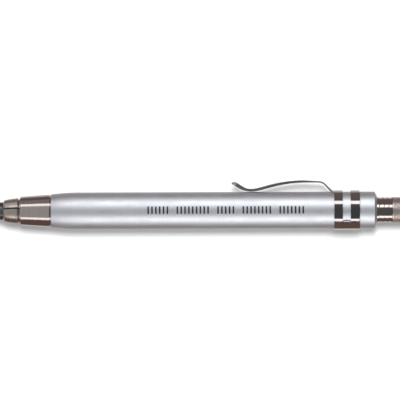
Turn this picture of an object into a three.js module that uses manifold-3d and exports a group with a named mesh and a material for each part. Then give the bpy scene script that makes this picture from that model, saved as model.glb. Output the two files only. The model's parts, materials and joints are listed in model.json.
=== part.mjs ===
// A metal clutch lead holder for 5.6 mm drafting leads, lying on its side. Millimetres, +Z up.
// The axis runs along X with the lead's point towards -X, and the pocket clip stands out towards +Y.
// Every "At" is a distance along the axis from the barrel's front edge, positive towards the button.

import * as THREE from 'three';
import { mergeVertices } from 'three/addons/utils/BufferGeometryUtils.js';
import Module from 'manifold-3d';

const wasm = await Module();
wasm.setup();

const SEGMENTS = 40; // facets round every turned piece, so that coaxial facets line up
const FIT = 0.05; // running clearance between coaxial pieces, on the radius
const SEAT = 0.1; // clearance between end faces
const SPARE = 1; // how far a cutting shape reaches past what it cuts

const LEAD = { radius: 2.8, length: 120, tipAt: -22.2, coneLength: 5, tipRadius: 0.4 };

const BARREL = {
  radius: 5.85, frontRadius: 5.25, bore: 4.95, shoulderLength: 9.2, shoulderPower: 2.2, endAt: 98.7,
};
const NOSE = {
  frontAt: -9.8, frontRadius: 4.55, rearRadius: 5.2, mouth: 4.05, throatAt: -5.5, throat: 3.75,
  reliefAt: -0.45, reliefRadius: 5.0, spigotEndAt: 9,
};
const JAW = {
  count: 3, frontAt: -15.25, rootAt: 2, lipAt: -11, lipRadius: 4.16, lipEndAt: -10.65, slotWidth: 0.55,
  slotAngle: THREE.MathUtils.degToRad(13), gripEndAt: -10.5, gripStep: 0.3, neckRadius: 3.9,
  neckEndAt: -10.1, seatRadius: 3.55, stemAt: -4, stemRadius: 3.5, rootRadius: 3.42,
};
// The jaws' chamfered head, as [distance behind the front face, radius].
const JAW_HEAD = [[0, 2.97], [0.4, 3.46], [1.35, 3.66], [3.25, 3.96], [4.15, 4.08]];
const COLLET = { radius: 3.6, bore: 2.95, counterboreAt: 4.5, endAt: 8 };
const TUBE = { radius: 3.3, bore: 2.95, endAt: 103 };
const SPRING = { radius: 3.95, wire: 0.6, turns: 11, startAt: 10, endAt: 35.6, steps: 14, sides: 6 };
const SPRING_SEAT = { bore: 3.45, thickness: 0.55, radius: 4.85 };
const COLLAR = { startAt: 36, endAt: 39, radius: 4.75 };

const CLIP = {
  startAt: 90.6, inner: 5.9, sheet: 0.42, windowAt: 93.3, windowEndAt: 95.85,
  plateHalfAngle: THREE.MathUtils.degToRad(54.4), halfWidth: 2.3, tipHalfWidth: 1.5, taperAt: 85.5,
  rootAt: 90.5,
};
// The clip arm's line from tip to root, and the corners that pull its curves: [place, height over the axis].
const ARM = {
  tip: [57.8, 8.6], tipPull: [59.4, 7.9], bumpPull: [61, 6.12], bump: [64.1, 6.12], risePull: [67.4, 6.12],
  crestPull: [72.8, 8.97], crest: [81.5, 8.97], shoulder: [84.9, 8.97], shoulderPull: [86.9, 8.97],
  slopeTop: [87.7, 8.15], slopeFoot: [89.65, 6.5], rootPullAt: 89.95, seatAt: 90.2,
};
const FERRULE = { bore: 4.2, spigotStartAt: 91, coneAt: 103.55, endAt: 104.27, endRadius: 4.4 };
const STEM = {
  startAt: 96.5, radius: 4.05, valley: 3.92, ringsAt: 104.67, ringPitch: 1.5, rings: 3,
  threadAt: 109.2, threadRadius: 3.35, endAt: 113.6,
};
const WASHER = { thickness: 0.3, radius: 3.7 };
const CAP = {
  startAt: 109.27, endAt: 121.3, radius: 4.07, chamfer: 0.5, recess: 3.75, recessEndAt: 109.6,
  bore: 3.42, boreEndAt: 119.9,
};
const SHARPENER = { startAt: 114, endAt: 119.8, coneEndAt: 119.2, mouth: 2.9, cutDepth: 0.08 };
const BLADE = { startAt: 115.4, endAt: 119.2, width: 2.1, thickness: 0.3, lift: 0.1 };
const SCREW = { at: 117.8, side: 1.45, head: 0.45, headHeight: 0.25, shank: 0.25, shankLength: 0.45 };

const satinAluminium = { color: 0xc9cdd6, roughness: 0.36, metalness: 1 };
const polishedNickel = { color: 0x9c938e, roughness: 0.16, metalness: 1 };
const polishedChrome = { color: 0x77706e, roughness: 0.1, metalness: 1 };
const springSteel = { color: 0x8d8f93, roughness: 0.3, metalness: 1 };
const brass = { color: 0xb99a5b, roughness: 0.35, metalness: 1 };
const graphite = { color: 0x4a4a50, roughness: 0.45, metalness: 0.2 };
const fibre = { color: 0x2b2624, roughness: 0.8, metalness: 0 };

// ---- shape helpers -------------------------------------------------------------------------

// Turns a profile of [distance along the axis, radius] points about the X axis.
function turned(profile) {
  const points = profile.map(([at, radius]) => new THREE.Vector2(radius, at));
  return new THREE.LatheGeometry(points, SEGMENTS).rotateZ(-Math.PI / 2);
}

// A turned ring whose section is a closed outline.
function turnedRing(outline) {
  return turned([...outline, outline[0]]);
}

// A plain bush or tube.
function bush(startAt, endAt, bore, radius) {
  return turnedRing([[startAt, bore], [startAt, radius], [endAt, radius], [endAt, bore]]);
}

// An outline in the YZ plane, pushed along X from one place on the axis to another.
function alongAxis(shape, startAt, endAt) {
  const options = { depth: endAt - startAt, bevelEnabled: false, curveSegments: SEGMENTS };
  const geometry = new THREE.ExtrudeGeometry(shape, options);
  return geometry.rotateX(Math.PI / 2).rotateZ(Math.PI / 2).translate(startAt, 0, 0);
}

// A wedge of a disc about the axis, between two angles counted from +Z towards +Y.
function wedge(startAt, endAt, radius, fromAngle, toAngle) {
  const first = Math.PI / 2 - toAngle;
  const last = Math.PI / 2 - fromAngle;
  const shape = new THREE.Shape();
  shape.moveTo(0, 0);
  shape.lineTo(radius * Math.cos(first), radius * Math.sin(first));
  shape.absarc(0, 0, radius, first, last, false);
  return alongAxis(shape, startAt, endAt);
}

function toSolid(geometry) {
  const bare = geometry.clone().deleteAttribute('normal').deleteAttribute('uv');
  const merged = mergeVertices(bare, 1e-5);
  return new wasm.Manifold(new wasm.Mesh({
    numProp: 3,
    vertProperties: new Float32Array(merged.attributes.position.array),
    triVerts: new Uint32Array(merged.index.array),
  }));
}

function fromSolid(solid) {
  const mesh = solid.getMesh();
  const geometry = new THREE.BufferGeometry();
  geometry.setAttribute('position', new THREE.BufferAttribute(mesh.vertProperties, 3));
  geometry.setIndex(new THREE.BufferAttribute(mesh.triVerts, 1));
  geometry.computeVertexNormals();
  return geometry;
}

// ---- lead and clutch -----------------------------------------------------------------------

function leadGeometry() {
  const endAt = LEAD.tipAt + LEAD.length;
  return turned([
    [LEAD.tipAt, 0],
    [LEAD.tipAt, LEAD.tipRadius],
    [LEAD.tipAt + LEAD.coneLength, LEAD.radius],
    [endAt, LEAD.radius],
    [endAt, 0],
  ]);
}

// The jaws' common outline: a chamfered head with a lip, a groove, and the cone that seats in the nose.
function jawRing() {
  const grip = LEAD.radius + FIT / 2;
  return turnedRing([
    [JAW.frontAt, grip],
    ...JAW_HEAD.map(([behind, radius]) => [JAW.frontAt + behind, radius]),
    [JAW.lipAt, JAW.lipRadius],
    [JAW.lipEndAt, JAW.lipRadius],
    [JAW.lipEndAt, JAW.neckRadius],
    [JAW.neckEndAt, JAW.neckRadius],
    [NOSE.throatAt, JAW.seatRadius],
    [JAW.stemAt, JAW.stemRadius],
    [JAW.rootAt, JAW.rootRadius],
    [JAW.rootAt, COLLET.bore],
    [JAW.gripEndAt + JAW.gripStep, COLLET.bore],
    [JAW.gripEndAt, grip],
  ]);
}

// One sprung finger of the collet, cut out of the common outline between two saw cuts.
function jawGeometry(index) {
  const sector = 2 * Math.PI / JAW.count;
  const from = JAW.slotAngle + index * sector;
  const length = JAW.rootAt - JAW.frontAt;
  let fingers = toSolid(jawRing());
  for (let slot = 0; slot < JAW.count; slot += 1) {
    const depth = JAW.lipRadius + SPARE;
    const cut = new THREE.BoxGeometry(length + 2 * SPARE, JAW.slotWidth, depth);
    cut.translate(JAW.frontAt + length / 2, 0, depth / 2);
    cut.rotateX(-JAW.slotAngle - slot * sector);
    fingers = fingers.subtract(toSolid(cut));
  }
  const reach = JAW.lipRadius + SPARE;
  const keep = wedge(JAW.frontAt - SPARE, JAW.rootAt + SPARE, reach, from, from + sector);
  return fromSolid(fingers.intersect(toSolid(keep)));
}

function colletBaseGeometry() {
  const startAt = JAW.rootAt + SEAT;
  const bevel = 0.15;
  return turnedRing([
    [startAt, COLLET.bore],
    [startAt, COLLET.radius - bevel],
    [startAt + 2 * bevel, COLLET.radius],
    [COLLET.endAt, COLLET.radius],
    [COLLET.endAt, TUBE.radius + FIT],
    [COLLET.counterboreAt, TUBE.radius + FIT],
    [COLLET.counterboreAt, COLLET.bore],
  ]);
}

function leadTubeGeometry() {
  return bush(COLLET.counterboreAt + SEAT, TUBE.endAt, TUBE.bore, TUBE.radius);
}

class SpringPath extends THREE.Curve {
  getPoint(t, target = new THREE.Vector3()) {
    const angle = 2 * Math.PI * SPRING.turns * t;
    const at = THREE.MathUtils.lerp(SPRING.startAt, SPRING.endAt, t);
    return target.set(at, SPRING.radius * Math.sin(angle), SPRING.radius * Math.cos(angle));
  }
}

function springGeometry() {
  const section = new THREE.Shape();
  section.absarc(0, 0, SPRING.wire / 2, 0, 2 * Math.PI, false);
  return new THREE.ExtrudeGeometry(section, {
    steps: SPRING.turns * SPRING.steps,
    curveSegments: SPRING.sides / 2,
    extrudePath: new SpringPath(),
  });
}

function springWasherGeometry() {
  const startAt = NOSE.spigotEndAt + FIT;
  return bush(startAt, startAt + SPRING_SEAT.thickness, SPRING_SEAT.bore, SPRING_SEAT.radius);
}

function springCollarGeometry() {
  const bevel = 0.25;
  return turnedRing([
    [COLLAR.startAt, TUBE.radius + FIT],
    [COLLAR.startAt, COLLAR.radius],
    [COLLAR.endAt - bevel, COLLAR.radius],
    [COLLAR.endAt, COLLAR.radius - bevel],
    [COLLAR.endAt, TUBE.radius + FIT],
  ]);
}

// ---- barrel, nose and tail -----------------------------------------------------------------

// The barrel swells from its front edge to full size along a smooth shoulder.
function barrelGeometry() {
  const steps = 8;
  const outline = [[0, BARREL.bore]];
  for (let step = 0; step <= steps; step += 1) {
    const left = 1 - step / steps;
    const drop = (BARREL.radius - BARREL.frontRadius) * left ** BARREL.shoulderPower;
    outline.push([BARREL.shoulderLength * (1 - left), BARREL.radius - drop]);
  }
  outline.push([BARREL.endAt, BARREL.radius]);
  outline.push([BARREL.endAt, BARREL.bore]);
  return turnedRing(outline);
}

function noseSleeveGeometry() {
  const bevel = 0.14;
  return turnedRing([
    [NOSE.frontAt, NOSE.mouth],
    [NOSE.frontAt, NOSE.frontRadius - bevel],
    [NOSE.frontAt + bevel, NOSE.frontRadius],
    [NOSE.reliefAt, NOSE.rearRadius],
    [NOSE.reliefAt, NOSE.reliefRadius],
    [-FIT, NOSE.reliefRadius],
    [-FIT, BARREL.bore - FIT],
    [NOSE.spigotEndAt, BARREL.bore - FIT],
    [NOSE.spigotEndAt, NOSE.throat],
    [NOSE.throatAt, NOSE.throat],
  ]);
}

function tailFerruleGeometry() {
  const shoulderAt = BARREL.endAt + SEAT;
  const bevel = 0.2;
  return turnedRing([
    [FERRULE.spigotStartAt, FERRULE.bore],
    [FERRULE.spigotStartAt, BARREL.bore - FIT - bevel],
    [FERRULE.spigotStartAt + bevel, BARREL.bore - FIT],
    [shoulderAt, BARREL.bore - FIT],
    [shoulderAt, BARREL.radius],
    [FERRULE.coneAt, BARREL.radius],
    [FERRULE.endAt, FERRULE.endRadius],
    [FERRULE.endAt, FERRULE.bore],
  ]);
}

// ---- clip ----------------------------------------------------------------------------------

// Two bands round the barrel, joined by a broad plate on the side away from the arm.
function clipSleeveGeometry() {
  const bevel = 0.08;
  const radius = CLIP.inner + CLIP.sheet;
  const ring = turnedRing([
    [CLIP.startAt, CLIP.inner],
    [CLIP.startAt, radius - bevel],
    [CLIP.startAt + bevel, radius],
    [BARREL.endAt - bevel, radius],
    [BARREL.endAt, radius - bevel],
    [BARREL.endAt, CLIP.inner],
  ]);
  const plateEdge = CLIP.plateHalfAngle - Math.PI / 2;
  const reach = radius + SPARE;
  const window = wedge(CLIP.windowAt, CLIP.windowEndAt, reach, plateEdge, Math.PI - plateEdge);
  return fromSolid(toSolid(ring).subtract(toSolid(window)));
}

// The arm's centre line seen from above: X is the place along the axis and Y the height over it.
function clipLine() {
  const line = new THREE.Path();
  const rootHeight = CLIP.inner + CLIP.sheet / 2;
  line.moveTo(...ARM.tip);
  line.bezierCurveTo(...ARM.tipPull, ...ARM.bumpPull, ...ARM.bump);
  line.bezierCurveTo(...ARM.risePull, ...ARM.crestPull, ...ARM.crest);
  line.lineTo(...ARM.shoulder);
  line.quadraticCurveTo(...ARM.shoulderPull, ...ARM.slopeTop);
  line.lineTo(...ARM.slopeFoot);
  line.quadraticCurveTo(ARM.rootPullAt, rootHeight, ARM.seatAt, rootHeight);
  line.lineTo(CLIP.rootAt, rootHeight);
  return line;
}

// A strip of even thickness along a line.
function strip(line, thickness, divisions) {
  const points = line.getPoints(divisions);
  const last = points.length - 1;
  const offset = (index, side) => {
    const before = points[Math.max(index - 1, 0)];
    const after = points[Math.min(index + 1, last)];
    const along = after.clone().sub(before).normalize();
    return new THREE.Vector2(-along.y, along.x).multiplyScalar(side * thickness / 2).add(points[index]);
  };
  const left = points.map((_, index) => offset(index, 1));
  const right = points.map((_, index) => offset(index, -1));
  return new THREE.Shape([...left, ...right.reverse()]);
}

// The arm seen from its flat side: parallel near the root, narrower and round at the tip.
function clipPlan() {
  const plan = new THREE.Shape();
  const roundAt = ARM.tip[0] + CLIP.tipHalfWidth;
  plan.moveTo(CLIP.rootAt + SPARE, -CLIP.halfWidth);
  plan.lineTo(CLIP.rootAt + SPARE, CLIP.halfWidth);
  plan.lineTo(CLIP.taperAt, CLIP.halfWidth);
  plan.lineTo(roundAt, CLIP.tipHalfWidth);
  plan.absarc(roundAt, 0, CLIP.tipHalfWidth, Math.PI / 2, 3 * Math.PI / 2, false);
  plan.lineTo(CLIP.taperAt, -CLIP.halfWidth);
  plan.closePath();
  return plan;
}

function clipArmGeometry() {
  const side = new THREE.ExtrudeGeometry(strip(clipLine(), CLIP.sheet, 8), {
    depth: 2 * (CLIP.halfWidth + SPARE),
    bevelEnabled: false,
  });
  side.translate(0, 0, -CLIP.halfWidth - SPARE);
  const reach = ARM.crest[1] + CLIP.sheet + SPARE;
  const plan = new THREE.ExtrudeGeometry(clipPlan(), { depth: reach, bevelEnabled: false, curveSegments: 8 });
  plan.rotateX(Math.PI / 2).translate(0, reach, 0);
  return fromSolid(toSolid(side).intersect(toSolid(plan)));
}

// ---- push button ---------------------------------------------------------------------------

// The stem's rings are a wave along the axis, with a crest where they start and where they end.
function ringRadius(at) {
  const wave = (1 - Math.cos(2 * Math.PI * (at - STEM.ringsAt) / STEM.ringPitch)) / 2;
  return STEM.radius - (STEM.radius - STEM.valley) * wave;
}

function buttonStemGeometry() {
  const samples = 6;
  const bevel = 0.2;
  const outline = [
    [STEM.startAt, TUBE.radius + FIT],
    [STEM.startAt, STEM.radius],
  ];
  for (let step = 0; step <= samples * STEM.rings; step += 1) {
    const at = STEM.ringsAt + step * STEM.ringPitch / samples;
    outline.push([at, ringRadius(at)]);
  }
  outline.push([STEM.threadAt, STEM.radius]);
  outline.push([STEM.threadAt, STEM.threadRadius]);
  outline.push([STEM.endAt - bevel, STEM.threadRadius]);
  outline.push([STEM.endAt, STEM.threadRadius - bevel]);
  outline.push([STEM.endAt, TUBE.bore]);
  outline.push([TUBE.endAt + SEAT, TUBE.bore]);
  outline.push([TUBE.endAt + SEAT, TUBE.radius + FIT]);
  return turnedRing(outline);
}

function capWasherGeometry() {
  const startAt = STEM.threadAt + FIT;
  return bush(startAt, startAt + WASHER.thickness, CAP.bore, WASHER.radius);
}

function buttonCapGeometry() {
  const bevel = 0.15;
  return turned([
    [CAP.boreEndAt, 0],
    [CAP.boreEndAt, CAP.bore],
    [CAP.recessEndAt, CAP.bore],
    [CAP.recessEndAt, CAP.recess],
    [CAP.startAt, CAP.recess],
    [CAP.startAt, CAP.radius - bevel],
    [CAP.startAt + bevel, CAP.radius],
    [CAP.endAt - CAP.chamfer, CAP.radius],
    [CAP.endAt, CAP.radius - CAP.chamfer],
    [CAP.endAt, 0],
  ]);
}

// Lays a piece, modelled flat on z = 0 about the cone's middle, along the sharpening cone's upper side.
function onConeSide(geometry) {
  const run = SHARPENER.coneEndAt - SHARPENER.startAt;
  const fall = SHARPENER.mouth - LEAD.tipRadius;
  const middleAt = (SHARPENER.startAt + SHARPENER.coneEndAt) / 2;
  const middleRadius = (SHARPENER.mouth + LEAD.tipRadius) / 2 - SHARPENER.cutDepth;
  return geometry.rotateY(Math.atan2(fall, run)).translate(middleAt, 0, middleRadius);
}

// Where a place along the axis falls on that flat, counted from its middle.
function alongConeSide(at) {
  const run = SHARPENER.coneEndAt - SHARPENER.startAt;
  const fall = SHARPENER.mouth - LEAD.tipRadius;
  const middleAt = (SHARPENER.startAt + SHARPENER.coneEndAt) / 2;
  return (at - middleAt) * Math.hypot(run, fall) / run;
}

// A round rod where the screw goes, between two heights over that flat.
function screwRod(radius, bottom, top) {
  const sides = 12;
  const rod = new THREE.CylinderGeometry(radius, radius, top - bottom, sides).rotateX(Math.PI / 2);
  return rod.translate(alongConeSide(SCREW.at), SCREW.side, (top + bottom) / 2);
}

function sharpenerBodyGeometry() {
  const body = turned([
    [SHARPENER.coneEndAt, 0],
    [SHARPENER.coneEndAt, LEAD.tipRadius],
    [SHARPENER.startAt, SHARPENER.mouth],
    [SHARPENER.startAt, CAP.bore - FIT],
    [SHARPENER.endAt, CAP.bore - FIT],
    [SHARPENER.endAt, 0],
  ]);
  const size = 2 * (CAP.endAt - CAP.startAt);
  const above = onConeSide(new THREE.BoxGeometry(size, size, size).translate(0, 0, size / 2));
  const hole = onConeSide(screwRod(SCREW.shank + SEAT, -SCREW.shankLength - SEAT, SEAT));
  return fromSolid(toSolid(body).subtract(toSolid(above)).subtract(toSolid(hole)));
}

function sharpenerBladeGeometry() {
  const from = alongConeSide(BLADE.startAt);
  const to = alongConeSide(BLADE.endAt);
  const blade = new THREE.BoxGeometry(to - from, BLADE.width, BLADE.thickness);
  blade.translate((from + to) / 2, BLADE.width / 2 - SEAT, BLADE.lift + BLADE.thickness / 2);
  const hole = screwRod(SCREW.shank + SEAT, 0, SPARE);
  return onConeSide(fromSolid(toSolid(blade).subtract(toSolid(hole))));
}

function bladeScrewGeometry() {
  const headBottom = BLADE.lift + BLADE.thickness + FIT;
  const shank = toSolid(screwRod(SCREW.shank, -SCREW.shankLength, headBottom + SCREW.headHeight / 2));
  const head = toSolid(screwRod(SCREW.head, headBottom, headBottom + SCREW.headHeight));
  return onConeSide(fromSolid(shank.add(head)));
}

// ---- assembly ------------------------------------------------------------------------------

const pieces = [
  ['barrel', barrelGeometry(), satinAluminium],
  ['nose_sleeve', noseSleeveGeometry(), polishedNickel],
  ['tail_ferrule', tailFerruleGeometry(), satinAluminium],
  ['clip_sleeve', clipSleeveGeometry(), polishedChrome],
  ['clip_arm', clipArmGeometry(), polishedChrome],
  ['spring_washer', springWasherGeometry(), springSteel],
  ['return_spring', springGeometry(), springSteel],
  ['spring_collar', springCollarGeometry(), brass],
  ['collet_base', colletBaseGeometry(), polishedNickel],
  ['lead_tube', leadTubeGeometry(), brass],
  ['lead', leadGeometry(), graphite],
  ['button_stem', buttonStemGeometry(), polishedChrome],
  ['cap_washer', capWasherGeometry(), fibre],
  ['button_cap', buttonCapGeometry(), polishedNickel],
  ['sharpener_body', sharpenerBodyGeometry(), brass],
  ['sharpener_blade', sharpenerBladeGeometry(), springSteel],
  ['blade_screw', bladeScrewGeometry(), springSteel],
];
for (let index = 0; index < JAW.count; index += 1) {
  pieces.push([`jaw_${index + 1}`, jawGeometry(index), polishedNickel]);
}

const holder = new THREE.Group();
for (const [name, geometry, finish] of pieces) {
  const mesh = new THREE.Mesh(geometry, new THREE.MeshStandardMaterial(finish));
  mesh.name = name;
  holder.add(mesh);
}

// The origin is under the middle of the holder's box, on the surface that it lies on.
const box = new THREE.Box3().setFromObject(holder);
const middle = box.getCenter(new THREE.Vector3());
holder.position.set(-middle.x, -middle.y, -box.min.z);

const part = new THREE.Group();
part.add(holder);

export default part;
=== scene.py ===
"""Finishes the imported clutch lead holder: detailed turned and bent pieces, metals, studio and camera.

Outlines are in millimetres: "at" is the place along the holder's axis, counted from the barrel's
front edge towards the push button, and "radius" is the distance from the axis.
"""

import json
import math

import bmesh
import bpy
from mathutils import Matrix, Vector

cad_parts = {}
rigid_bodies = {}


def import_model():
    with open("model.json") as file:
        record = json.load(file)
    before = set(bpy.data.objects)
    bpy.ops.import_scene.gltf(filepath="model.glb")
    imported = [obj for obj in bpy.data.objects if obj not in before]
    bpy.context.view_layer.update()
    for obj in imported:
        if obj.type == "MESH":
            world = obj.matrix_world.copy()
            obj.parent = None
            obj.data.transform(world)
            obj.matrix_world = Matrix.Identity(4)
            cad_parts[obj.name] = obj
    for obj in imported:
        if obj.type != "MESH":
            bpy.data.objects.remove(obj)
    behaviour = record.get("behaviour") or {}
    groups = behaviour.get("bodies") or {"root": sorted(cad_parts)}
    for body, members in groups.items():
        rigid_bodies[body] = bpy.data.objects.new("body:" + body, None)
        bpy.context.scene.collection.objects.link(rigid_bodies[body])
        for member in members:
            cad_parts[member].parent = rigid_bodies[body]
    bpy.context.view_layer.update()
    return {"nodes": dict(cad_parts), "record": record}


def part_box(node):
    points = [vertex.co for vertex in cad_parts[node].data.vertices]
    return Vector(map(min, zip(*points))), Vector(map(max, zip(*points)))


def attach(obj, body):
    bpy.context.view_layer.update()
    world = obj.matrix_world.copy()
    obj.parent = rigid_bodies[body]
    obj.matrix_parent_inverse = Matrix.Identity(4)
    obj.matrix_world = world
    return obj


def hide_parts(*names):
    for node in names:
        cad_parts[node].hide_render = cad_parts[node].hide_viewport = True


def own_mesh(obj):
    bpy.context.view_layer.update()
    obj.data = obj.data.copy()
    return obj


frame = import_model()

MM = 0.001
BARREL_LOW, BARREL_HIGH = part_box("barrel")
FRONT_X = BARREL_LOW.x
AXIS_Y = (BARREL_LOW.y + BARREL_HIGH.y) / 2
AXIS_Z = (BARREL_LOW.z + BARREL_HIGH.z) / 2
RECORD = frame["record"]
BODY_OF = {n: body for body, nodes in RECORD["behaviour"]["bodies"].items() for n in nodes}

ROUND = 144  # columns round every turned piece
ON_AXIS = 1e-6  # a radius below this is a point on the axis
SHARP_ANGLE = 32  # degrees between faces that leave a sharp edge


# ---- places and outlines ---------------------------------------------------------------------


def place(at, side=0.0, up=0.0):
    """A point given in millimetres along the axis, towards the clip's side, and up."""
    return Vector((FRONT_X + at * MM, AXIS_Y + side * MM, AXIS_Z + up * MM))


def polar(at, radius, angle):
    """A point at a radius and an angle, counted from straight up towards the clip's side."""
    return place(at, radius * math.sin(angle), radius * math.cos(angle))


def mix(a, b, t):
    return a + (b - a) * t


def softened(outline, closed=True, steps=4):
    """Rounds the corners of an outline: a point may carry how far back its rounding starts."""
    count = len(outline)
    result = []
    for index, point in enumerate(outline):
        corner = Vector(point[:2])
        setback = point[2] if len(point) > 2 else 0.0
        at_end = not closed and index in (0, count - 1)
        if not setback or at_end:
            result.append(tuple(corner))
            continue
        before = Vector(outline[index - 1][:2]) - corner
        after = Vector(outline[(index + 1) % count][:2]) - corner
        start = corner + before.normalized() * min(setback, before.length / 2)
        end = corner + after.normalized() * min(setback, after.length / 2)
        for step in range(steps + 1):
            t = step / steps
            result.append(tuple(start.lerp(corner, t).lerp(corner.lerp(end, t), t)))
    return result


def spaced(start, end, radius, step):
    """Points along a straight cylinder, close enough together for a relief."""
    count = max(1, round(abs(end - start) / step))
    return [(mix(start, end, k / count), radius) for k in range(count + 1)]


# ---- mesh making -----------------------------------------------------------------------------


def bridge(bm, first, second):
    """Faces between two closed rows of points; a row of one point makes a fan."""
    count = max(len(first), len(second))
    for k in range(count):
        n = (k + 1) % count
        corners = [first[k % len(first)], first[n % len(first)]]
        corners += [second[n % len(second)], second[k % len(second)]]
        unique = [v for i, v in enumerate(corners) if v not in corners[:i]]
        if len(unique) > 2:
            bm.faces.new(unique)


def turned_mesh(outline, closed=True, relief=None):
    """Turns an outline about the axis. relief(at, radius, angle) is added to the radius."""
    bm = bmesh.new()
    rows = []
    for at, radius in outline:
        if radius < ON_AXIS:
            rows.append([bm.verts.new(place(at))])
            continue
        row = []
        for k in range(ROUND):
            angle = 2 * math.pi * k / ROUND
            extra = relief(at, radius, angle) if relief else 0.0
            row.append(bm.verts.new(polar(at, radius + extra, angle)))
        rows.append(row)
    pairs = list(zip(rows, rows[1:]))
    if closed:
        pairs.append((rows[-1], rows[0]))
    for first, second in pairs:
        bridge(bm, first, second)
    return bm


def make_object(name, bm, finish, sharp_angle=SHARP_ANGLE):
    """A smoothly shaded object from a bmesh, with one material."""
    bmesh.ops.recalc_face_normals(bm, faces=bm.faces)
    mesh = bpy.data.meshes.new(name)
    bm.to_mesh(mesh)
    bm.free()
    mesh.shade_smooth()
    mesh.set_sharp_from_angle(angle=math.radians(sharp_angle))
    mesh.materials.append(finish)
    obj = bpy.data.objects.new(name, mesh)
    bpy.context.scene.collection.objects.link(obj)
    return obj


def weigh_normals(obj):
    """Lets the broad faces set the shading, so that a rounded corner doesn't bend its neighbours'."""
    weighting = obj.modifiers.new("shading", "WEIGHTED_NORMAL")
    weighting.keep_sharp = True


def add_piece(node, bm, finish, sharp_angle=SHARP_ANGLE):
    """The finished piece that stands for a CAD node, on the node's body, with one finish."""
    obj = make_object(f"{node}_finished", bm, finish, sharp_angle)
    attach(obj, BODY_OF[node])
    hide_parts(node)
    return obj


def add_turned(node, outline, finish, closed=True, relief=None):
    """The finished piece for a CAD node that is turned on a lathe."""
    obj = add_piece(node, turned_mesh(outline, closed, relief), finish)
    weigh_normals(obj)
    return obj


def soften_edges(obj, width):
    """Rounds the edges sharper than an angle, by a width in millimetres."""
    sharper_than = 35
    bevel = obj.modifiers.new("edges", "BEVEL")
    bevel.width = width * MM
    bevel.segments = 3
    bevel.limit_method = "ANGLE"
    bevel.angle_limit = math.radians(sharper_than)


# ---- materials -------------------------------------------------------------------------------


class Nodes:
    """A material's node tree, with short calls for the few nodes that the finishes use."""

    def __init__(self, name):
        self.material = bpy.data.materials.new(name)
        self.material.use_nodes = True
        self.tree = self.material.node_tree
        self.shader = self.tree.nodes["Principled BSDF"]
        self.coords = self.tree.nodes.new("ShaderNodeTexCoord").outputs["Object"]

    def link(self, output, socket):
        self.tree.links.new(output, socket)

    def noise(self, scale, detail=3.0, rough=0.55):
        """Noise whose grain is 1 / scale metres along each axis."""
        mapping = self.tree.nodes.new("ShaderNodeMapping")
        mapping.inputs["Scale"].default_value = scale
        noise = self.tree.nodes.new("ShaderNodeTexNoise")
        noise.inputs["Scale"].default_value = 1.0
        noise.inputs["Detail"].default_value = detail
        noise.inputs["Roughness"].default_value = rough
        self.link(self.coords, mapping.inputs["Vector"])
        self.link(mapping.outputs["Vector"], noise.inputs["Vector"])
        return noise.outputs["Fac"]

    def spread(self, value, low, high, from_low=0.3, from_high=0.7):
        """Maps the middle of a noise's range, or another range, on a range from low to high."""
        node = self.tree.nodes.new("ShaderNodeMapRange")
        node.inputs["From Min"].default_value = from_low
        node.inputs["From Max"].default_value = from_high
        node.inputs["To Min"].default_value = low
        node.inputs["To Max"].default_value = high
        self.link(value, node.inputs["Value"])
        return node.outputs["Result"]

    def rougher_on_cuts(self, roughness, cut_rough):
        """Raises the roughness on the sheared edges, which face along the clip's width."""
        starts, full = 0.9, 0.97
        sides = self.tree.nodes.new("ShaderNodeSeparateXYZ")
        facing = self.tree.nodes.new("ShaderNodeNewGeometry")
        self.link(facing.outputs["True Normal"], sides.inputs[0])
        size = self.tree.nodes.new("ShaderNodeMath")
        size.operation = "ABSOLUTE"
        self.link(sides.outputs["Z"], size.inputs[0])
        cut = self.spread(size.outputs[0], 0.0, cut_rough, from_low=starts, from_high=full)
        higher = self.tree.nodes.new("ShaderNodeMath")
        higher.operation = "MAXIMUM"
        self.link(roughness, higher.inputs[0])
        self.link(cut, higher.inputs[1])
        return higher.outputs[0]

    def tint(self, value, first, second):
        """Blends two colours, each a triple or another node's output."""
        node = self.tree.nodes.new("ShaderNodeMix")
        node.data_type = "RGBA"
        for name, colour in (("A", first), ("B", second)):
            if isinstance(colour, tuple):
                node.inputs[name].default_value = (*colour, 1)
            else:
                self.link(colour, node.inputs[name])
        self.link(value, node.inputs["Factor"])
        return node.outputs["Result"]

    def bump(self, value, height_mm, before=None):
        """A normal roughened by a height, on top of another bump's if that is given."""
        node = self.tree.nodes.new("ShaderNodeBump")
        node.inputs["Strength"].default_value = 1.0
        node.inputs["Distance"].default_value = height_mm * MM
        self.link(value, node.inputs["Height"])
        if before:
            self.link(before, node.inputs["Normal"])
        return node.outputs["Normal"]


def turned_metal(name, light, dark, rough, lines_mm, line_depth):
    """Turned metal: fine tool lines and broader rings round the axis, and a little handling wear."""
    n = Nodes(name)
    n.shader.inputs["Metallic"].default_value = 1.0
    lines = n.noise((1000 / lines_mm, 120, 120), detail=4)
    rings = n.noise((1500, 60, 60), detail=2)
    clouds = n.noise((260, 420, 420), detail=3)
    marks = n.noise((520, 900, 900), detail=7, rough=0.7)
    specks = n.noise((9000, 9000, 9000), detail=2)
    clean = n.tint(n.spread(rings, 0, 1), light, dark)
    worn = tuple(channel * 0.9 for channel in dark)
    n.link(n.tint(n.spread(marks, 0, 0.8, 0.62, 0.74), clean, worn), n.shader.inputs["Base Color"])
    n.link(n.spread(clouds, rough * 0.94, rough * 1.06), n.shader.inputs["Roughness"])
    grain = n.bump(specks, line_depth * 0.35)
    scuffed = n.bump(marks, line_depth * 2, before=grain)
    n.link(n.bump(lines, line_depth, before=scuffed), n.shader.inputs["Normal"])
    return n.material


HAIRLINE_DEPTH = 0.0003


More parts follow.
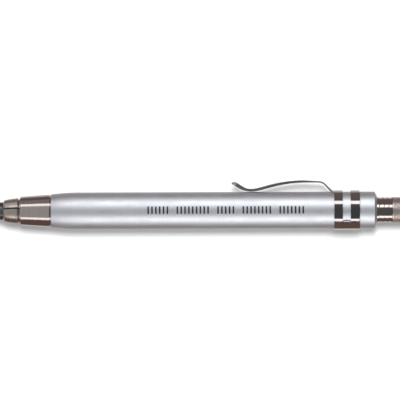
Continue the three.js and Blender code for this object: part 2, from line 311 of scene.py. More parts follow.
def rolled_metal(name, light, dark, rough, waviness_mm, cut_rough=None):
    """Polished sheet: almost a mirror, a little wavy, with fine hairlines, and duller where it is cut."""
    n = Nodes(name)
    n.shader.inputs["Metallic"].default_value = 1.0
    waves = n.noise((180, 260, 260), detail=1)
    hairs = n.noise((300, 9000, 9000), detail=3)
    n.link(n.tint(n.spread(waves, 0, 1), light, dark), n.shader.inputs["Base Color"])
    roughness = n.spread(hairs, rough * 0.7, rough * 1.5)
    if cut_rough:
        roughness = n.rougher_on_cuts(roughness, cut_rough)
    n.link(roughness, n.shader.inputs["Roughness"])
    wavy = n.bump(waves, waviness_mm)
    n.link(n.bump(hairs, HAIRLINE_DEPTH, before=wavy), n.shader.inputs["Normal"])
    return n.material


def graphite_finish():
    """Pressed lead: drawn streaks along it, and a grainy, half metallic sheen."""
    n = Nodes("graphite")
    n.shader.inputs["Metallic"].default_value = 0.9
    streaks = n.noise((500, 5200, 5200), detail=4)
    grains = n.noise((14000, 14000, 14000), detail=2)
    n.link(n.tint(n.spread(streaks, 0, 1), (0.19, 0.19, 0.20), (0.13, 0.13, 0.14)),
           n.shader.inputs["Base Color"])
    n.link(n.spread(grains, 0.24, 0.34), n.shader.inputs["Roughness"])
    body = n.bump(streaks, 0.004)
    n.link(n.bump(grains, 0.0012, before=body), n.shader.inputs["Normal"])
    return n.material


def fibre_finish():
    """Pressed fibre: matted dark threads."""
    n = Nodes("pressed_fibre")
    n.shader.inputs["Metallic"].default_value = 0.0
    threads = n.noise((3000, 5000, 5000), detail=5)
    n.link(n.tint(n.spread(threads, 0, 1), (0.05, 0.042, 0.038), (0.02, 0.017, 0.016)),
           n.shader.inputs["Base Color"])
    n.link(n.spread(threads, 0.7, 0.9), n.shader.inputs["Roughness"])
    n.link(n.bump(threads, 0.02), n.shader.inputs["Normal"])
    return n.material


def ink_finish():
    """Screen-printed ink: nearly black, slightly mottled, with a dull gloss."""
    n = Nodes("printing_ink")
    n.shader.inputs["Metallic"].default_value = 0.0
    n.shader.inputs["Specular IOR Level"].default_value = 0.2
    mottle = n.noise((5200, 5200, 5200), detail=4)
    n.link(n.tint(n.spread(mottle, 0, 1), (0.020, 0.024, 0.042), (0.012, 0.015, 0.028)),
           n.shader.inputs["Base Color"])
    n.link(n.spread(mottle, 0.5, 0.66), n.shader.inputs["Roughness"])
    n.link(n.bump(mottle, 0.0015), n.shader.inputs["Normal"])
    return n.material


SATIN = turned_metal("satin_aluminium", (0.775, 0.80, 0.845), (0.75, 0.775, 0.82), 0.545, 0.09, 0.0004)
NICKEL = turned_metal("polished_nickel", (0.70, 0.63, 0.60), (0.66, 0.595, 0.565), 0.15, 0.12, 0.0003)
RING_NICKEL = turned_metal("ringed_nickel", (0.74, 0.66, 0.64), (0.70, 0.62, 0.60), 0.13, 0.12, 0.0003)
JAW_STEEL = turned_metal("worn_nickel", (0.63, 0.56, 0.52), (0.59, 0.52, 0.48), 0.32, 0.1, 0.0005)
BUTTON = turned_metal("dull_nickel", (0.77, 0.685, 0.64), (0.71, 0.63, 0.585), 0.42, 0.1, 0.0006)
CHROME = rolled_metal("polished_chrome", (0.74, 0.72, 0.71), (0.70, 0.675, 0.665), 0.08, 0.0006)
CLIP_CHROME = rolled_metal(
    "clip_chrome", (0.76, 0.70, 0.70), (0.72, 0.66, 0.66), 0.08, 0.0006, cut_rough=0.36,
)
STEEL = rolled_metal("spring_steel", (0.58, 0.58, 0.6), (0.5, 0.5, 0.52), 0.2, 0.0006)
BRASS = turned_metal("turned_brass", (0.74, 0.58, 0.33), (0.66, 0.5, 0.27), 0.24, 0.15, 0.0008)
GRAPHITE = graphite_finish()
FIBRE = fibre_finish()
INK = ink_finish()


# ---- barrel, nose and tail -------------------------------------------------------------------

BARREL_RADIUS = 5.85
BARREL_BORE = 4.95
BARREL_END = 98.7
FIT = 0.05
THREAD_PITCH = 0.75
THREAD_DEPTH = 0.28
THREAD_STEEPNESS = 2.4


def thread(start, end, depth=THREAD_DEPTH, outside=True):
    """Relief of a screw thread cut into a cylinder between two places along the axis."""

    def relief(at, radius, angle):
        if not start <= at <= end:
            return 0.0
        turn = (at / THREAD_PITCH - angle / (2 * math.pi)) % 1
        groove = max(0.0, 1 - abs(turn - 0.5) * THREAD_STEEPNESS)
        run_out = min(1.0, (at - start) / THREAD_PITCH, (end - at) / THREAD_PITCH)
        return -depth * groove * run_out if outside else depth * groove * run_out

    return relief


def only_at_radius(relief, wanted):
    """Keeps a relief to the wall of one radius."""
    tolerance = 0.02

    def kept(at, radius, angle):
        return relief(at, radius, angle) if abs(radius - wanted) < tolerance else 0.0

    return kept


def barrel_outline():
    """A plain tube whose front swells to full size along a smooth shoulder."""
    front_radius = 5.25
    shoulder = 9.2
    power = 2.2
    steps = 28
    outline = [(0.0, BARREL_BORE, 0.05)]
    for step in range(steps + 1):
        left = 1 - step / steps
        drop = (BARREL_RADIUS - front_radius) * left**power
        point = (shoulder * (1 - left), BARREL_RADIUS - drop)
        outline.append((*point, 0.07) if step == 0 else point)
    lengths = 14
    outline += [(mix(shoulder, BARREL_END, k / lengths), BARREL_RADIUS) for k in range(1, lengths)]
    outline.append((BARREL_END, BARREL_RADIUS, 0.06))
    outline.append((BARREL_END, BARREL_BORE, 0.05))
    return softened(outline)


def add_barrel():
    add_turned("barrel", barrel_outline(), SATIN)


def add_nose_sleeve():
    spigot = BARREL_BORE - FIT
    outline = softened([
        (-9.8, 4.05, 0.08),
        (-9.8, 4.55, 0.16),
        (-0.45, 5.2, 0.06),
        (-0.45, 4.98, 0.03),
        (-0.05, 4.98, 0.02),
        (-0.05, spigot),
    ])
    outline += spaced(0.0, 8.8, spigot, THREAD_PITCH / 10)
    outline += [(9.0, spigot - 0.2), (9.0, 3.75), (-5.5, 3.75)]
    cut = only_at_radius(thread(0.6, 8.6), spigot)
    add_turned("nose_sleeve", outline, NICKEL, relief=cut)


def add_tail_ferrule():
    spigot = BARREL_BORE - FIT
    outline = [(91.0, 4.2), (91.0, spigot - 0.2)]
    outline += spaced(91.2, 98.6, spigot, THREAD_PITCH / 10)
    outline += softened([
        (98.8, spigot, 0.03),
        (98.8, BARREL_RADIUS, 0.06),
        (103.55, BARREL_RADIUS, 0.12),
        (104.27, 4.4, 0.08),
        (104.27, 4.2, 0.05),
    ], closed=False)
    cut = only_at_radius(thread(91.6, 98.2), spigot)
    add_turned("tail_ferrule", outline, SATIN, relief=cut)


# ---- clip ------------------------------------------------------------------------------------

SHEET = 0.42
SLEEVE_RADIUS = 5.9 + SHEET
SLEEVE_START = 90.6
WINDOW_START = 93.3
WINDOW_END = 95.85
PLATE_EDGE = math.radians(-37.6)
WINDOW_CORNER = 0.15
WINDOW_ARCH = 0.36
ARCH_FADE = 4


def sleeve_columns():
    """(angle, openness) all the way round; openness is 0 to 1 along the window, None on the plate."""
    corner = WINDOW_CORNER / SLEEVE_RADIUS
    far_edge = math.pi - PLATE_EDGE
    corner_steps, window_steps, plate_steps = 6, 96, 48
    near = []
    for k in range(corner_steps + 1):
        t = math.pi / 2 * k / corner_steps
        near.append((PLATE_EDGE + corner * (1 - math.cos(t)), math.sin(t)))
    columns = list(near)
    for k in range(1, window_steps):
        columns.append((mix(PLATE_EDGE + corner, far_edge - corner, k / window_steps), 1.0))
    columns += [(math.pi - angle, opening) for angle, opening in reversed(near)]
    for k in range(1, plate_steps):
        columns.append((mix(far_edge, 2 * math.pi + PLATE_EDGE, k / plate_steps), None))
    return columns


def sleeve_row(bm, angle, opening, inner_rows):
    """Points along the sleeve at one angle: front band, window or plate, rear band."""
    open_part = WINDOW_CORNER * (opening or 0.0)
    low = WINDOW_START + WINDOW_CORNER - open_part
    high = WINDOW_END - WINDOW_CORNER + open_part
    places = [SLEEVE_START, low]
    places += [mix(low, high, k / inner_rows) for k in range(1, inner_rows)]
    places += [high, BARREL_END]
    row = []
    for at in places:
        middle = (at - WINDOW_START) / (WINDOW_END - WINDOW_START)
        arch = WINDOW_ARCH * max(0.0, math.sin(math.pi * middle)) / SLEEVE_RADIUS
        near_plate = max(0.0, 1 - abs(math.sin(angle) - math.sin(PLATE_EDGE)) * ARCH_FADE)
        lift = arch * near_plate * (1 if math.cos(angle) > 0 else -1)
        row.append(bm.verts.new(polar(at, SLEEVE_RADIUS, angle + lift)))
    return row


def add_clip_sleeve():
    """A sheet wrap: two bands with a window between them, joined by a plate away from the arm."""
    bm = bmesh.new()
    inner_rows = 6
    columns = sleeve_columns()
    rows = [sleeve_row(bm, angle, opening, inner_rows) for angle, opening in columns]
    openings = [opening for _, opening in columns]
    for a, b, here, following in zip(rows, rows[1:] + rows[:1], openings, openings[1:] + openings[:1]):
        is_window = here is not None and following is not None
        for k in range(len(a) - 1):
            if is_window and 0 < k < len(a) - 2:
                continue
            bm.faces.new([a[k], b[k], b[k + 1], a[k + 1]])
    loose = [v for v in bm.verts if not v.link_faces]
    bmesh.ops.delete(bm, geom=loose, context="VERTS")
    obj = add_piece("clip_sleeve", bm, CHROME)
    wall = obj.modifiers.new("sheet", "SOLIDIFY")
    wall.thickness = SHEET * MM
    wall.offset = -1.0
    soften_edges(obj, 0.06)
    weigh_normals(obj)


def bezier(points, t):
    """A point on a Bezier curve of any order."""
    row = [Vector(p) for p in points]
    while len(row) > 1:
        row = [a.lerp(b, t) for a, b in zip(row, row[1:])]
    return row[0]


ARM_TIP = (57.8, 8.6)
ARM_TIP_HALF = 1.5
ARM_NARROWEST = 0.25
ARM_ROOT_HALF = 2.3
ARM_TAPER_AT = 85.5
ARM_END = 90.5
ARM_CLEARANCE = 0.03
ARM_ROOT_HEIGHT = SLEEVE_RADIUS - SHEET / 2 + ARM_CLEARANCE


def clip_line():
    """The arm's centre line from tip to root: place along the axis, height over it."""
    bump, crest, shoulder = (64.1, 6.12), (81.5, 8.97), (84.9, 8.97)
    slope_top, slope_foot = (87.7, 8.15), (89.65, 6.5)
    seat = (90.2, ARM_ROOT_HEIGHT)
    stretches = [
        ([ARM_TIP, (59.4, 7.9), (61.0, 6.12), bump], 28),
        ([bump, (67.4, 6.12), (72.8, 8.97), crest], 32),
        ([crest, shoulder], 5),
        ([shoulder, (86.9, 8.97), slope_top], 12),
        ([slope_top, slope_foot], 6),
        ([slope_foot, (89.95, ARM_ROOT_HEIGHT), seat], 8),
        ([seat, (ARM_END, ARM_ROOT_HEIGHT)], 1),
    ]
    line = [bezier(stretches[0][0], 0)]
    for points, steps in stretches:
        line += [bezier(points, k / steps) for k in range(1, steps + 1)]
    return line


def clip_half_width(at):
    """Parallel near the root, narrower and round at the tip."""
    reach = at - ARM_TIP[0]
    taper = min(1.0, max(0.0, (reach - ARM_TIP_HALF) / (ARM_TAPER_AT - ARM_TIP[0] - ARM_TIP_HALF)))
    width = mix(ARM_TIP_HALF, ARM_ROOT_HALF, taper)
    if reach < ARM_TIP_HALF:
        width *= math.sqrt(max(0.0, 1 - (1 - reach / ARM_TIP_HALF) ** 2))
    return max(width, ARM_NARROWEST)


def along_stations(stations, at):
    """A smooth value at a place, from (place, value) stations."""
    for (start, low), (end, high) in zip(stations, stations[1:]):
        if at <= end:
            t = max(0.0, (at - start) / (end - start))
            return mix(low, high, t * t * (3 - 2 * t))
    return stations[-1][1]


def clip_crown(at):
    """How far the middle stands out from the edges: flat, but curved as the barrel at the root."""
    return along_stations([(ARM_TIP[0], 0.0), (87.0, 0.0), (90.3, 0.38)], at)


def clip_flange(at):
    """How high the arm's two edges stand above the sheet: they stiffen it, and cup its tip."""
    stations = [
        (ARM_TIP[0], 0.3), (58.9, 0.82), (60.0, 0.78), (63.2, 0.5),
        (71.0, 0.54), (79.0, 0.38), (86.0, 0.1), (ARM_END, 0.0),
    ]
    return along_stations(stations, at)


def clip_roll(at):
    """Radius of the sheet's edges: cut square along the arm, rolled round near the root."""
    square, rolled = 0.06, 0.14
    return along_stations([(79.0, square), (ARM_TAPER_AT, rolled)], at)


def clip_section(half_width, thickness, crown, roll, flange):
    """(across, outwards) points of the sheet's section, all the way round; its edges rise to flanges."""
    steps, roll_steps = 18, 4
    rise_from, rise_width = 0.55, 0.3
    edge = thickness / 2

    def rolled(side, top):
        """The corner on one side (1 or -1) of the top (1) or bottom (-1) face, from face to edge."""
        face = edge + flange if top > 0 else -edge
        centre = (side * (half_width - roll), face - crown - top * roll)
        corner = []
        for k in range(roll_steps + 1):
            t = math.pi / 2 * k / roll_steps
            corner.append((centre[0] + side * roll * math.sin(t), centre[1] + top * roll * math.cos(t)))
        return corner

    def lift(x):
        """How far the outer face rises towards an edge."""
        t = min(1.0, max(0.0, (abs(x) / half_width - rise_from) / rise_width))
        return flange * t * t * (3 - 2 * t)

    flat = half_width - roll
    inner = [mix(-flat, flat, k / steps) for k in range(1, steps)]
    top = [(x, edge + lift(x) - crown * (x / half_width) ** 2) for x in inner]
    bottom = [(x, -edge - crown * (x / half_width) ** 2) for x in reversed(inner)]
    return rolled(-1, 1)[::-1] + top + rolled(1, 1) + rolled(1, -1)[::-1] + bottom + rolled(-1, -1)


def add_clip_arm():
    """A bent sheet strip that takes the barrel's curve at its root and lifts at its tip."""
    bm = bmesh.new()
    line = clip_line()
    rows = []
    for index, centre in enumerate(line):
        before = line[max(index - 1, 0)]
        after = line[min(index + 1, len(line) - 1)]
        along = (after - before).normalized()
        outward = Vector((-along.y, along.x))
        half = clip_half_width(centre.x)
        crown = clip_crown(centre.x) * min(1.0, half / ARM_TIP_HALF)
        section = clip_section(half, SHEET, crown, clip_roll(centre.x), clip_flange(centre.x))
        row = []
        for across, out in section:
            point = centre + outward * out
            row.append(bm.verts.new(place(point.x, point.y, across)))
        rows.append(row)
    for first, second in zip(rows, rows[1:]):
        bridge(bm, first, second)
    bm.faces.new(rows[0])
    bm.faces.new(rows[-1])
    weigh_normals(add_piece("clip_arm", bm, CLIP_CHROME, sharp_angle=50))


# ---- lead and clutch -------------------------------------------------------------------------

LEAD_RADIUS = 2.8
SLOT_ANGLE = math.radians(13)
SLOT_WIDTH = 0.55


def add_lead():
    """A 120 mm lead with a hand-sharpened point."""
    tip_at = -22.2
    end_at = tip_at + 120
    cone_length = 5
    tip_radius = 0.42
    tip_depth = 0.18
    shaving, shavings_per_mm = 0.012, 21
    outline = [(tip_at, 0.0)]
    for angle in (0.4, 0.8, 1.2, 1.5):
        outline.append((tip_at + tip_depth * (1 - math.cos(angle)), tip_radius * math.sin(angle)))
    cone_steps, body_steps = 24, 40
    for k in range(cone_steps + 1):
        t = k / cone_steps
        outline.append((mix(tip_at + 0.2, tip_at + cone_length, t), mix(tip_radius, LEAD_RADIUS - 0.02, t)))
    for k in range(body_steps + 1):
        outline.append((mix(tip_at + cone_length + 0.1, end_at - 0.1, k / body_steps), LEAD_RADIUS))
    outline += [(end_at, LEAD_RADIUS - 0.1), (end_at, 0.0)]

    def shaved(at, radius, angle):
        on_cone = at < tip_at + cone_length - 0.1
        return shaving * math.sin(at * shavings_per_mm + angle) * min(1.0, radius) if on_cone else 0.0

    add_piece("lead", turned_mesh(outline, closed=False, relief=shaved), GRAPHITE)


def jaw_outline():
    """The collet's section: chamfered head with a lip, a sharp groove, and the cone seated in the nose."""
    outer = [
        (-15.25, 2.97, 0.05), (-14.85, 3.44, 0.14), (-13.9, 3.66), (-13.0, 3.81), (-12.0, 3.95),
        (-11.12, 4.06, 0.02), (-11.0, 4.16, 0.03), (-10.65, 4.16, 0.05), (-10.42, 3.55), (-10.1, 3.9),
        (-5.5, 3.55), (-4.0, 3.5), (2.0, 3.42, 0.05),
    ]
    inner = [(2.0, 2.95), (-10.2, 2.95), (-10.5, 2.825), (-15.25, 2.825, 0.03)]
    return softened(outer + inner)


def add_jaw(index):
    """One finger of the collet, between two parallel-sided saw cuts."""
    bm = bmesh.new()
    outline = jaw_outline()
    columns = 44
    sector = 2 * math.pi / 3
    first = SLOT_ANGLE + index * sector
    rows = []
    for k in range(columns + 1):
        row = []
        for at, radius in outline:
            inset = math.asin(SLOT_WIDTH / 2 / radius)
            angle = mix(first + inset, first + sector - inset, k / columns)
            row.append(bm.verts.new(polar(at, radius, angle)))
        rows.append(row)
    for a, b in zip(rows, rows[1:]):
        bridge(bm, a, b)
    bm.faces.new(rows[0])
    bm.faces.new(rows[-1])
    obj = add_piece(f"jaw_{index + 1}", bm, JAW_STEEL)
    soften_edges(obj, 0.05)
    weigh_normals(obj)


def add_collet_base():
    outline = softened([
        (2.1, 2.95, 0.05), (2.1, 3.45, 0.05), (2.4, 3.6, 0.05), (5.2, 3.6, 0.04), (5.3, 3.5, 0.04),
        (5.6, 3.5, 0.04), (5.7, 3.6, 0.04), (8.0, 3.6, 0.1), (8.0, 3.35, 0.03), (4.5, 3.35), (4.5, 2.95),
    ])
    add_turned("collet_base", outline, JAW_STEEL)


def add_lead_tube():
    start, end, bore, radius = 4.6, 103.0, 2.95, 3.3
    wall_start, wall_end, steps = 5, 102.6, 24
    outline = [(start, bore), (start, radius - 0.05), (start + 0.05, radius)]
    outline += [(mix(wall_start, wall_end, k / steps), radius) for k in range(steps + 1)]
    outline += [(end - 0.1, radius), (end, radius - 0.1), (end, bore)]
    outline += [(mix(wall_end, wall_start, k / steps), bore) for k in range(steps + 1)]
    add_turned("lead_tube", outline, BRASS)


def add_spring_washer():
    outline = softened([(9.05, 3.45, 0.05), (9.05, 4.85, 0.1), (9.6, 4.85, 0.1), (9.6, 3.45, 0.05)])
    add_turned("spring_washer", outline, STEEL)


def add_spring_collar():
    outline = softened([
        (36.0, 3.35, 0.04), (36.0, 4.75, 0.1), (37.2, 4.75, 0.05), (37.35, 4.6, 0.05), (37.65, 4.6, 0.05),
        (37.8, 4.75, 0.05), (38.75, 4.75, 0.05), (39.0, 4.5, 0.05), (39.0, 3.35, 0.04),
    ])
    add_turned("spring_collar", outline, BRASS)


SPRING_START = 9.68
SPRING_END = 35.92
SPRING_TURNS = 11
SPRING_WIRE = 0.6


def spring_place(turn):
    """Where the wire's middle is after some turns: closed end coils, even pitch between."""
    start = SPRING_START + SPRING_WIRE / 2
    end = SPRING_END - SPRING_WIRE / 2
    slope = (end - start - 2 * SPRING_WIRE) / (SPRING_TURNS - 2)
    if turn < 1:
        return start + SPRING_WIRE * turn
    if turn > SPRING_TURNS - 1:
        return end - SPRING_WIRE * (SPRING_TURNS - turn)
    return start + SPRING_WIRE + slope * (turn - 1)


def add_return_spring():
    """A helix of round wire with closed end coils, at its resting length; the real spring shortens towards
    its front as the button goes in.
    """
    bm = bmesh.new()
    radius = 3.95
    per_turn, sides = 40, 12
    rows = []
    for k in range(SPRING_TURNS * per_turn + 1):
        turn = k / per_turn
        row = []
        for side in range(sides):
            t = 2 * math.pi * side / sides
            reach = radius + SPRING_WIRE / 2 * math.cos(t)
            at = spring_place(turn) + SPRING_WIRE / 2 * math.sin(t)
            row.append(bm.verts.new(polar(at, reach, 2 * math.pi * turn)))
        rows.append(row)
    for a, b in zip(rows, rows[1:]):
        bridge(bm, a, b)
    bm.faces.new(rows[0])
    bm.faces.new(rows[-1])
    obj = add_piece("return_spring", bm, STEEL)
    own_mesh(obj)


# ---- push button -----------------------------------------------------------------------------

RINGS_AT = 104.67
RING_PITCH = 1.5
RING_COUNT = 3
NECK_RADIUS = 4.05
NECK_VALLEY = 3.92
STEM_SHOULDER = 109.2
STEM_THREAD_RADIUS = 3.35
CAP_START = 109.27
CAP_END = 121.3
CAP_RADIUS = 4.07
CAP_BORE = 3.42
RIB_PITCH = 0.48


def neck_rings():
    """Round rings, as a wave along the axis."""
    samples = 16
    rings = []
    for step in range(samples * RING_COUNT + 1):
        at = RINGS_AT + step * RING_PITCH / samples
        wave = (1 - math.cos(2 * math.pi * (at - RINGS_AT) / RING_PITCH)) / 2
        rings.append((at, mix(NECK_RADIUS, NECK_VALLEY, wave)))
    return rings


def add_button_stem():
    outline = [(96.5, 3.35), (96.5, 3.9), (96.65, NECK_RADIUS)]
    outline += [(mix(97, RINGS_AT - 0.3, k / 8), NECK_RADIUS) for k in range(9)]
    outline += neck_rings()
    outline += [(STEM_SHOULDER, NECK_RADIUS - 0.03), (STEM_SHOULDER, STEM_THREAD_RADIUS)]
    outline += spaced(STEM_SHOULDER + 0.05, 113.4, STEM_THREAD_RADIUS, THREAD_PITCH / 12)
    outline += [(113.6, 3.15), (113.6, 2.95), (103.1, 2.95), (103.1, 3.35)]
    cut = only_at_radius(thread(STEM_SHOULDER + 0.4, 113.3, depth=0.22), STEM_THREAD_RADIUS)
    add_turned("button_stem", outline, RING_NICKEL, relief=cut)


def add_cap_washer():
    start = STEM_SHOULDER + 0.05
    end = start + 0.3
    outline = softened([
        (start, CAP_BORE, 0.05), (start, 3.7, 0.08), (end, 3.7, 0.08), (end, CAP_BORE, 0.05),
    ])
    add_turned("cap_washer", outline, FIBRE)


def cap_ribs(start, end):
    """Fine round ribs with narrow grooves between them."""
    samples = 8
    depth = 0.11
    roundness = 0.6
    count = round((end - start) / RIB_PITCH)
    ribs = []
    for step in range(samples * count + 1):
        at = start + step * RIB_PITCH / samples
        arch = abs(math.cos(math.pi * (at - start) / RIB_PITCH)) ** roundness
        ribs.append((at, mix(CAP_RADIUS - depth, CAP_RADIUS, arch)))
    return ribs


def add_button_cap():
    recess_end = 109.6
    outline = [(119.9, 0.0), (119.9, 3.3), (119.8, CAP_BORE)]
    outline += [(mix(119.0, 113.9, k / 6), CAP_BORE) for k in range(7)]
    outline += spaced(113.8, recess_end + 0.05, CAP_BORE, THREAD_PITCH / 10)
    outline += [(recess_end, CAP_BORE), (recess_end, 3.75), (CAP_START, 3.75)]
    outline += [(CAP_START, CAP_RADIUS - 0.12), (CAP_START + 0.12, CAP_RADIUS)]
    outline += cap_ribs(CAP_START + 0.3, CAP_END - 1.2)
    outline += softened([
        (CAP_END - 1.1, CAP_RADIUS),
        (CAP_END - 0.5, CAP_RADIUS, 0.12),
        (CAP_END, CAP_RADIUS - 0.5, 0.12),
        (CAP_END, 3.0),
    ], closed=False)
    outline += [(CAP_END - 0.06, 2.9), (CAP_END - 0.06, 2.6), (CAP_END, 2.5), (CAP_END, 0.0)]
    cut = only_at_radius(thread(recess_end + 0.2, 113.7, depth=0.15, outside=False), CAP_BORE)
    add_turned("button_cap", outline, BUTTON, closed=False, relief=cut)


def dress_cad_node(node, finish):
    """A CAD node whose own shape is shown gets a finish."""
    materials = frame["nodes"][node].data.materials
    materials.clear()
    materials.append(finish)


# ---- printed mark ----------------------------------------------------------------------------


def add_stroke(bm, at, width, height, middle):
    """One upright stroke of ink that follows the barrel, with a film's thickness."""
    film, sunk, steps = 0.012, 0.02, 8
    reach = height / 2 / BARREL_RADIUS
    angles = [mix(middle - reach, middle + reach, k / steps) for k in range(steps + 1)]
    loop = [(BARREL_RADIUS - sunk, angle) for angle in angles]
    loop += [(BARREL_RADIUS + film, angle) for angle in reversed(angles)]
    sides = [[bm.verts.new(polar(a, radius, angle)) for radius, angle in loop] for a in (at, at + width)]
    bridge(bm, *sides)
    for side in sides:
        bm.faces.new(side)


def add_print():
    """A plain row of upright strokes in groups, printed along the barrel; it spells nothing."""
    bm = bmesh.new()
    start, end = 30.9, 80.9
    groups = (6, 9, 5, 8, 7)
    width, height = 0.5, 2.4
    middle = math.radians(1.0)
    gap_in_pitches = 1.6
    pitches = sum(groups) - 1 + gap_in_pitches * (len(groups) - 1)
    pitch = (end - start - width) / pitches
    at = start
    for strokes in groups:
        for _ in range(strokes):
            add_stroke(bm, at, width, height, middle)
            at += pitch
        at += gap_in_pitches * pitch
    obj = make_object("barrel_print", bm, INK)
    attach(obj, "barrel")


# ---- studio ----------------------------------------------------------------------------------


def add_camera():
    """Straight down on the holder through a long lens, with the point at the left edge."""
    distance = 2.4
    frame_width = 0.128
    sensor_width = 36.0
    farthest = 20.0
    roll = math.radians(-0.19)
    middle = place(47.7, 3.32)
    data = bpy.data.cameras.new("camera")
    data.sensor_width = sensor_width
    data.lens = sensor_width * distance / frame_width
    data.clip_end = farthest
    camera = bpy.data.objects.new("camera", data)
    camera.location = (middle.x, middle.y, AXIS_Z + distance)
    camera.rotation_euler = (0.0, 0.0, roll)
    bpy.context.scene.collection.objects.link(camera)
    bpy.context.scene.camera = camera


def add_floor():
    """A plain white table, which the metal doesn't mirror."""
    size = 12.0
    bm = bmesh.new()
    corners = [(-size, -size), (size, -size), (size, size), (-size, size)]
    bm.faces.new([bm.verts.new((x, y, 0.0)) for x, y in corners])
    n = Nodes("pale_floor")
    fine = n.noise((900, 900, 900), detail=2)
    n.link(n.tint(n.spread(fine, 0, 1), (0.9, 0.9, 0.9), (0.89, 0.89, 0.89)), n.shader.inputs["Base Color"])
    n.shader.inputs["Roughness"].default_value = 0.9
    n.shader.inputs["Specular IOR Level"].default_value = 0.1
    floor = make_object("floor", bm, n.material)
    floor.visible_glossy = False


def add_sun(name, energy, spread, tilt, blockers=None):
    """A soft light high on the clip's side, which shades the floor below the holder."""
    light = bpy.data.lights.new(name, "SUN")
    light.energy = energy
    light.angle = math.radians(spread)
    obj = bpy.data.objects.new(name, light)
    obj.rotation_euler = (-math.radians(tilt), 0.0, 0.0)
    obj.visible_glossy = False
    if blockers:
        obj.light_linking.blocker_collection = blockers
    bpy.context.scene.collection.objects.link(obj)


def add_suns():
    """Two overlapping keys; the lower one passes the thin clip arm by."""
    wide_pieces = bpy.data.collections.new("wide_pieces")
    for obj in bpy.context.scene.objects:
        if obj.type == "MESH" and CLIP_CHROME not in list(obj.data.materials):
            wide_pieces.objects.link(obj)
    add_sun("key", 1.9, 16.0, 14.8)
    add_sun("low_key", 0.9, 14.0, 23.0, blockers=wide_pieces)


STRIP_REACH = 0.5
CARD_REACH = 0.2
# How far strips and cards stretch along the holder, in metres from its middle.
STRIP_FROM_BODY = (-0.13, 0.3)
STRIP_FROM_FRONT = (-0.25, 0.3)
CARD_WHOLE = (-0.35, 0.35)
CARD_SHOULDER = (-0.45, -0.075)
CARD_JAWS = (-0.45, -0.055)
CARD_NOSE = (-0.45, -0.05)


def add_area(name, angle, reach, middle_x, size, radiance, receivers):
    """A flat light over the holder, at an angle in degrees from straight up, seen only in the metal."""
    light = bpy.data.lights.new(name, "AREA")
    light.shape = "RECTANGLE"
    light.size, light.size_y = size
    light.energy = radiance * math.pi * size[0] * size[1]
    obj = bpy.data.objects.new(name, light)
    tilt = math.radians(angle)
    obj.location = (middle_x, AXIS_Y + reach * math.sin(tilt), AXIS_Z + reach * math.cos(tilt))
    obj.rotation_euler = (-tilt, 0.0, 0.0)
    obj.visible_diffuse = False
    obj.visible_camera = False
    obj.light_linking.receiver_collection = receivers
    bpy.context.scene.collection.objects.link(obj)


def add_panel(name, start, end, reach, span, radiance, receivers):
    """A panel that fills the angles from start to end as seen from the holder, and a stretch along it."""
    width = 2 * reach * math.tan(math.radians(end - start) / 2)
    size = (span[1] - span[0], width)
    add_area(name, (start + end) / 2, reach, (span[0] + span[1]) / 2, size, radiance, receivers)


def gather(name, finishes):
    """A collection of the pieces that have one of these finishes, for the lights to shine on."""
    group = bpy.data.collections.new(name)
    for obj in bpy.context.scene.objects:
        if obj.type == "MESH" and any(m in finishes for m in obj.data.materials):
            group.objects.link(obj)
    return group


def add_softboxes():
    """Two long softboxes beside the holder and pale cards over it, each set to suit one finish."""
    satin = gather("satin_pieces", [SATIN, INK])
    jaws = gather("jaw_pieces", [JAW_STEEL])
    button = gather("button_pieces", [BUTTON])
    stem = gather("stem_pieces", [RING_NICKEL])
    nose = gather("nose_pieces", [NICKEL])
    polished = gather("polished_pieces", [CHROME, CLIP_CHROME, STEEL, BRASS, GRAPHITE, FIBRE])
    # name, angles from straight up towards the clip in degrees, stretch, radiance, pieces lit
    strips = [
        ("clip_side_wide", 33.5, 60.0, STRIP_FROM_BODY, 4.1, satin),
        ("far_side_wide", -72.5, -45.5, STRIP_FROM_BODY, 3.6, satin),
        ("clip_side_jaws", 34.0, 56.0, STRIP_FROM_FRONT, 1.3, jaws),
        ("far_side_jaws", -72.0, -50.0, STRIP_FROM_FRONT, 1.2, jaws),
        ("clip_side_button", 22.0, 51.0, STRIP_FROM_BODY, 2.3, button),
        ("far_side_button", -86.0, -57.0, STRIP_FROM_BODY, 2.2, button),
        ("clip_side_stem", 24.0, 48.0, STRIP_FROM_FRONT, 1.6, stem),
        ("far_side_stem", -82.5, -60.0, STRIP_FROM_FRONT, 1.5, stem),
        ("clip_side_nose", 37.0, 54.0, STRIP_FROM_FRONT, 1.3, nose),
        ("far_side_nose", -69.0, -53.0, STRIP_FROM_FRONT, 1.3, nose),
        ("clip_side_narrow", 34.5, 54.5, STRIP_FROM_FRONT, 1.25, polished),
        ("far_side_narrow", -69.0, -53.5, STRIP_FROM_FRONT, 1.25, polished),
    ]
    for name, start, end, span, radiance, receivers in strips:
        add_panel(name, start, end, STRIP_REACH, span, radiance, receivers)
    cards = [
        ("card_satin", -60.0, 38.0, CARD_WHOLE, 0.09, satin),
        ("front_card_satin", -60.0, 45.0, CARD_SHOULDER, 0.2, satin),
        ("card_button", -60.0, 38.0, CARD_WHOLE, 0.13, button),
        ("side_card_button", 53.0, 91.0, CARD_WHOLE, 0.06, button),
        ("card_stem", -60.0, 38.0, CARD_WHOLE, 0.03, stem),
        ("card_jaws", -68.0, 68.0, CARD_JAWS, 0.31, jaws),
        ("side_card_jaws", 68.0, 91.0, CARD_JAWS, 0.42, jaws),
        ("card_nose", -58.0, 38.0, CARD_NOSE, 0.3, nose),
        ("side_card_nose", 52.0, 91.0, CARD_NOSE, 0.095, nose),
        ("card_lead", -58.0, 38.0, CARD_NOSE, 0.3, polished),
    ]
    for name, start, end, span, radiance, receivers in cards:
        add_panel(name, start, end, CARD_REACH, span, radiance, receivers)


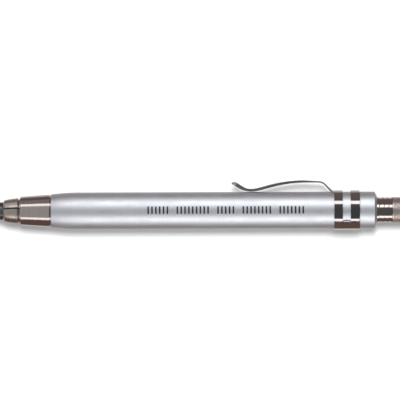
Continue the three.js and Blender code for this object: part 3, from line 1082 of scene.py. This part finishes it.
class Studio:
    """The world's node tree: what a ray meets, worked out from its direction."""

    def __init__(self):
        """The tree starts from a ray's direction: how far it runs along the holder and round it."""
        world = bpy.data.worlds.new("studio")
        bpy.context.scene.world = world
        world.use_nodes = True
        self.tree = world.node_tree
        self.background = self.tree.nodes["Background"]
        direction = self.tree.nodes.new("ShaderNodeTexCoord").outputs["Generated"]
        axes = self.tree.nodes.new("ShaderNodeSeparateXYZ")
        self.tree.links.new(direction, axes.inputs[0])
        self.along = axes.outputs["X"]
        self.around = self.math("ARCTAN2", axes.outputs["Y"], axes.outputs["Z"])

    def math(self, operation, *values):
        node = self.tree.nodes.new("ShaderNodeMath")
        node.operation = operation
        for socket, value in zip(node.inputs, values):
            if isinstance(value, bpy.types.NodeSocket):
                self.tree.links.new(value, socket)
            else:
                socket.default_value = value
        return node.outputs[0]

    def rise(self, value, start, end):
        """0 before start and 1 past end, with a smooth step between; end may lie below start."""
        node = self.tree.nodes.new("ShaderNodeMapRange")
        node.interpolation_type = "SMOOTHSTEP"
        node.inputs["From Min"].default_value = start
        node.inputs["From Max"].default_value = end
        self.tree.links.new(value, node.inputs["Value"])
        return node.outputs["Result"]

    def ring(self, stops):
        """A colour for each angle round the holder, from stops given in degrees."""
        turn = self.math("MULTIPLY_ADD", self.around, 1 / (2 * math.pi), 0.5)
        ramp = self.tree.nodes.new("ShaderNodeValToRGB")
        elements = ramp.color_ramp.elements
        while len(elements) < len(stops):
            elements.new(0.5)
        for element, (degrees, colour) in zip(elements, stops):
            element.position = degrees / 360 + 0.5
            element.color = (*colour, 1)
        self.tree.links.new(turn, ramp.inputs["Fac"])
        return ramp.outputs["Color"]

    def blend(self, factor, first, second):
        """Goes from the first colour to the second by a factor, each a value or another node's output."""
        node = self.tree.nodes.new("ShaderNodeMix")
        node.data_type = "RGBA"
        for name, value in (("Factor", factor), ("A", first), ("B", second)):
            if isinstance(value, bpy.types.NodeSocket):
                self.tree.links.new(value, node.inputs[name])
            else:
                node.inputs[name].default_value = value if name == "Factor" else (*value, 1)
        return node.outputs["Result"]


DIM_ROOM = (0.058, 0.058, 0.062)
WARM_WALL = (0.133, 0.103, 0.103)
BROWN_WALL = (0.13, 0.084, 0.072)
WHITE_TABLE = (0.68, 0.655, 0.64)
PALE_END = (0.33, 0.32, 0.315)
DIM_END = (0.15, 0.145, 0.14)
MATT_FILL = (0.58, 0.58, 0.59)
BACKDROP = (1.0, 1.0, 1.0)


def add_world():
    """A dim room round the holder, with brownish walls and a white table below."""
    studio = Studio()
    room = studio.ring([
        (-180, WHITE_TABLE), (-148, WHITE_TABLE), (-136, BROWN_WALL), (-84, BROWN_WALL),
        (-45, DIM_ROOM), (5, DIM_ROOM), (75, WARM_WALL), (117, WARM_WALL),
        (144, WHITE_TABLE), (180, WHITE_TABLE),
    ])
    past_point = studio.rise(studio.along, -0.6, -0.8)
    past_button = studio.rise(studio.along, 0.55, 0.7)
    lit = studio.blend(past_button, studio.blend(past_point, room, PALE_END), DIM_END)
    path = studio.tree.nodes.new("ShaderNodeLightPath")
    on_matt = studio.blend(path.outputs["Is Diffuse Ray"], lit, MATT_FILL)
    seen = studio.blend(path.outputs["Is Camera Ray"], on_matt, BACKDROP)
    studio.tree.links.new(seen, studio.background.inputs["Color"])


bpy.context.scene.view_settings.view_transform = "Standard"
add_camera()
add_floor()
add_world()

add_barrel()
add_nose_sleeve()
add_tail_ferrule()
add_clip_sleeve()
add_clip_arm()
add_lead()
for jaw in range(3):
    add_jaw(jaw)
add_collet_base()
add_lead_tube()
add_spring_washer()
add_return_spring()
add_spring_collar()
add_button_stem()
add_cap_washer()
add_button_cap()
dress_cad_node("sharpener_body", BRASS)
dress_cad_node("sharpener_blade", STEEL)
dress_cad_node("blade_screw", STEEL)
add_print()
add_suns()
add_softboxes()
